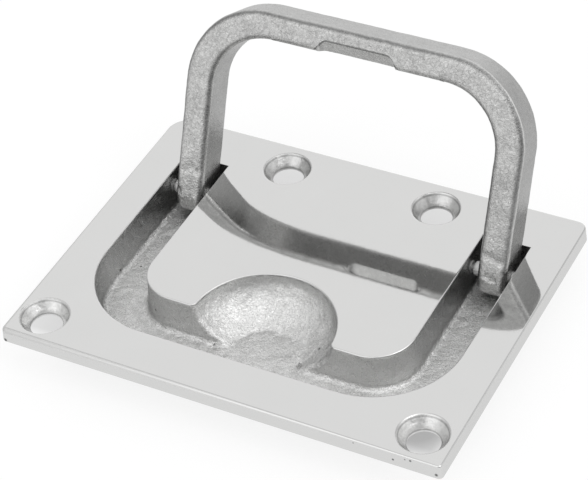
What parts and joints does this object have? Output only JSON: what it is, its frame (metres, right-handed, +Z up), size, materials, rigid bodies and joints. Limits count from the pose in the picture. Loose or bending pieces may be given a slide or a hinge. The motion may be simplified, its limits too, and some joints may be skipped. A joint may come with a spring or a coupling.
{
  "type": "flush grab handle",
  "caption": "Flush grab handle: a cast plate with a sunken channel, a finger scoop and countersunk screw holes, and a bail on hinge pins that folds down into the channel.",
  "frame": {"origin": "centre of the plate's flat underside, which rests on the panel", "axes": "+Z up out of the panel, +X to the right along the hinge pins, +Y to the back, the side of the hinge; the open side of the finger scoop faces -Y"},
  "size_m": [0.096, 0.0755, 0.0479],
  "materials": {
    "polished_steel": "cast stainless steel, ground and polished on top, as cast inside the channel and below",
    "cast_steel": "cast stainless steel, blasted, with a slight grain",
    "pin_steel": "drawn stainless steel rod"
  },
  "bodies": {
    "base": {"base": "polished_steel", "hinge_pin_left": "pin_steel", "hinge_pin_right": "pin_steel"},
    "bail": {"bail": "cast_steel"}
  },
  "joints": [
    {"name": "bail_fold", "type": "hinge", "parent": "base", "child": "bail", "pos_m": [0, 0.01875, -0.0003], "axis": [1, 0, 0], "range_deg": [0, 113.4]}
  ]
}
